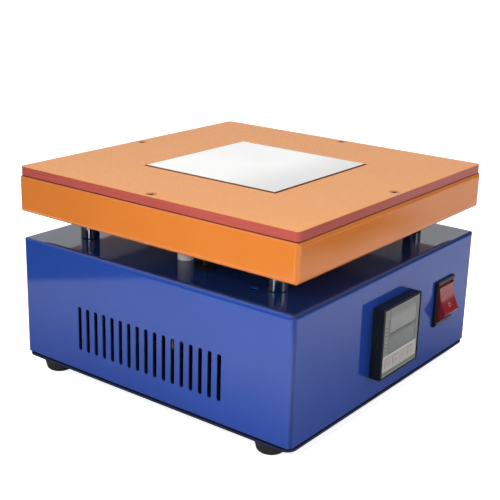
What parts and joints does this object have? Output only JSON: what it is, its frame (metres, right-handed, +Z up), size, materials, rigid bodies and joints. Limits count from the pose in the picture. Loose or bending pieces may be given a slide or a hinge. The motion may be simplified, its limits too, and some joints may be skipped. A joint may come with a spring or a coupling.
{
  "type": "heating platform",
  "caption": "Constant-temperature heating platform: a blue sheet-metal case with controller and rocker switch, and an orange tray with a heated plate on posts above it.",
  "frame": {"origin": "on the bench under the middle of the object's overall box", "axes": "+Z up, the front panel with the controller faces -Y, the switch is at +X of the controller"},
  "size_m": [0.2132, 0.2246, 0.1351],
  "materials": {
    "blue_paint": "gloss coat",
    "orange_paint": "gloss coat",
    "foot_rubber": "matte",
    "zinc_steel": "zinc plated",
    "brown_steel": "dull brown finish",
    "polished_posts": "polished",
    "ceramic": "glazed ceramic",
    "insulation_wool": "pressed fibre",
    "board_laminate": "semi-gloss laminate",
    "plate_aluminium": "fine ground",
    "black_plastic": "matte",
    "grey_plastic": "matte",
    "display_window": "grey window, unlit",
    "lamp_plastic": "translucent, unlit",
    "key_plastic": "matte",
    "circuit_board": "satin",
    "red_plastic": "translucent gloss",
    "contact_brass": "bright",
    "fuse_glass": "glass tube with metal caps",
    "relay_plastic": "satin",
    "lead_sleeve": "woven sleeve",
    "grey_lead": "matte",
    "brown_lead": "matte",
    "earth_sleeve": "matte"
  },
  "bodies": {
    "platform": {"base_plate": "blue_paint", "cover": "blue_paint", "rubber_feet": "foot_rubber", "foot_screws": "zinc_steel", "foot_nuts": "zinc_steel", "cover_screws": "zinc_steel", "cover_nuts": "zinc_steel", "posts": "polished_posts", "post_screws": "zinc_steel", "post_washers": "zinc_steel", "post_nuts": "zinc_steel", "lead_bush": "ceramic", "lead_grommets": "foot_rubber", "tray": "orange_paint", "insulation_blanket": "insulation_wool", "insulation_pad": "insulation_wool", "top_board": "board_laminate", "board_screws": "brown_steel", "heated_plate": "plate_aluminium", "cartridge_heaters": "zinc_steel", "temperature_probe": "zinc_steel", "plate_spacers": "ceramic", "plate_screws": "zinc_steel", "controller_housing": "black_plastic", "controller_fascia": "grey_plastic", "display_upper": "display_window", "display_lower": "display_window", "indicator_lamps": "lamp_plastic", "display_board": "circuit_board", "controller_board": "circuit_board", "controller_terminals": "black_plastic", "terminal_screws": "zinc_steel", "controller_clamp": "black_plastic", "switch_housing": "black_plastic", "switch_tabs": "contact_brass", "inlet_housing": "black_plastic", "inlet_blades": "contact_brass", "solid_state_relay": "relay_plastic", "relay_screws": "zinc_steel", "terminal_strip": "black_plastic", "strip_screws": "zinc_steel", "earth_stud": "contact_brass", "earth_nuts": "contact_brass", "heater_leads": "lead_sleeve", "sensor_lead": "grey_lead", "mains_leads": "brown_lead", "load_leads": "brown_lead", "control_leads": "grey_lead", "earth_lead": "earth_sleeve"},
    "rocker_body": {"rocker": "red_plastic"},
    "key_one_body": {"key_one": "key_plastic"},
    "key_two_body": {"key_two": "key_plastic"},
    "key_three_body": {"key_three": "key_plastic"},
    "key_four_body": {"key_four": "key_plastic"},
    "drawer_body": {"fuse_drawer": "black_plastic", "fuse": "fuse_glass"}
  },
  "joints": [
    {"name": "rocker_hinge", "type": "hinge", "parent": "platform", "child": "rocker_body", "pos_m": [0.0665, -0.10165, 0.0492], "axis": [1, 0, 0], "range_deg": [0, 36]},
    {"name": "key_one_press", "type": "slide", "parent": "platform", "child": "key_one_body", "axis": [0, 1, 0], "range_m": [0, 0.0005], "stiffness_N_per_m": 600},
    {"name": "key_two_press", "type": "slide", "parent": "platform", "child": "key_two_body", "axis": [0, 1, 0], "range_m": [0, 0.0005], "stiffness_N_per_m": 600},
    {"name": "key_three_press", "type": "slide", "parent": "platform", "child": "key_three_body", "axis": [0, 1, 0], "range_m": [0, 0.0005], "stiffness_N_per_m": 600},
    {"name": "key_four_press", "type": "slide", "parent": "platform", "child": "key_four_body", "axis": [0, 1, 0], "range_m": [0, 0.0005], "stiffness_N_per_m": 600},
    {"name": "fuse_drawer_slide", "type": "slide", "parent": "platform", "child": "drawer_body", "axis": [0, 1, 0], "range_m": [0, 0.022]}
  ]
}
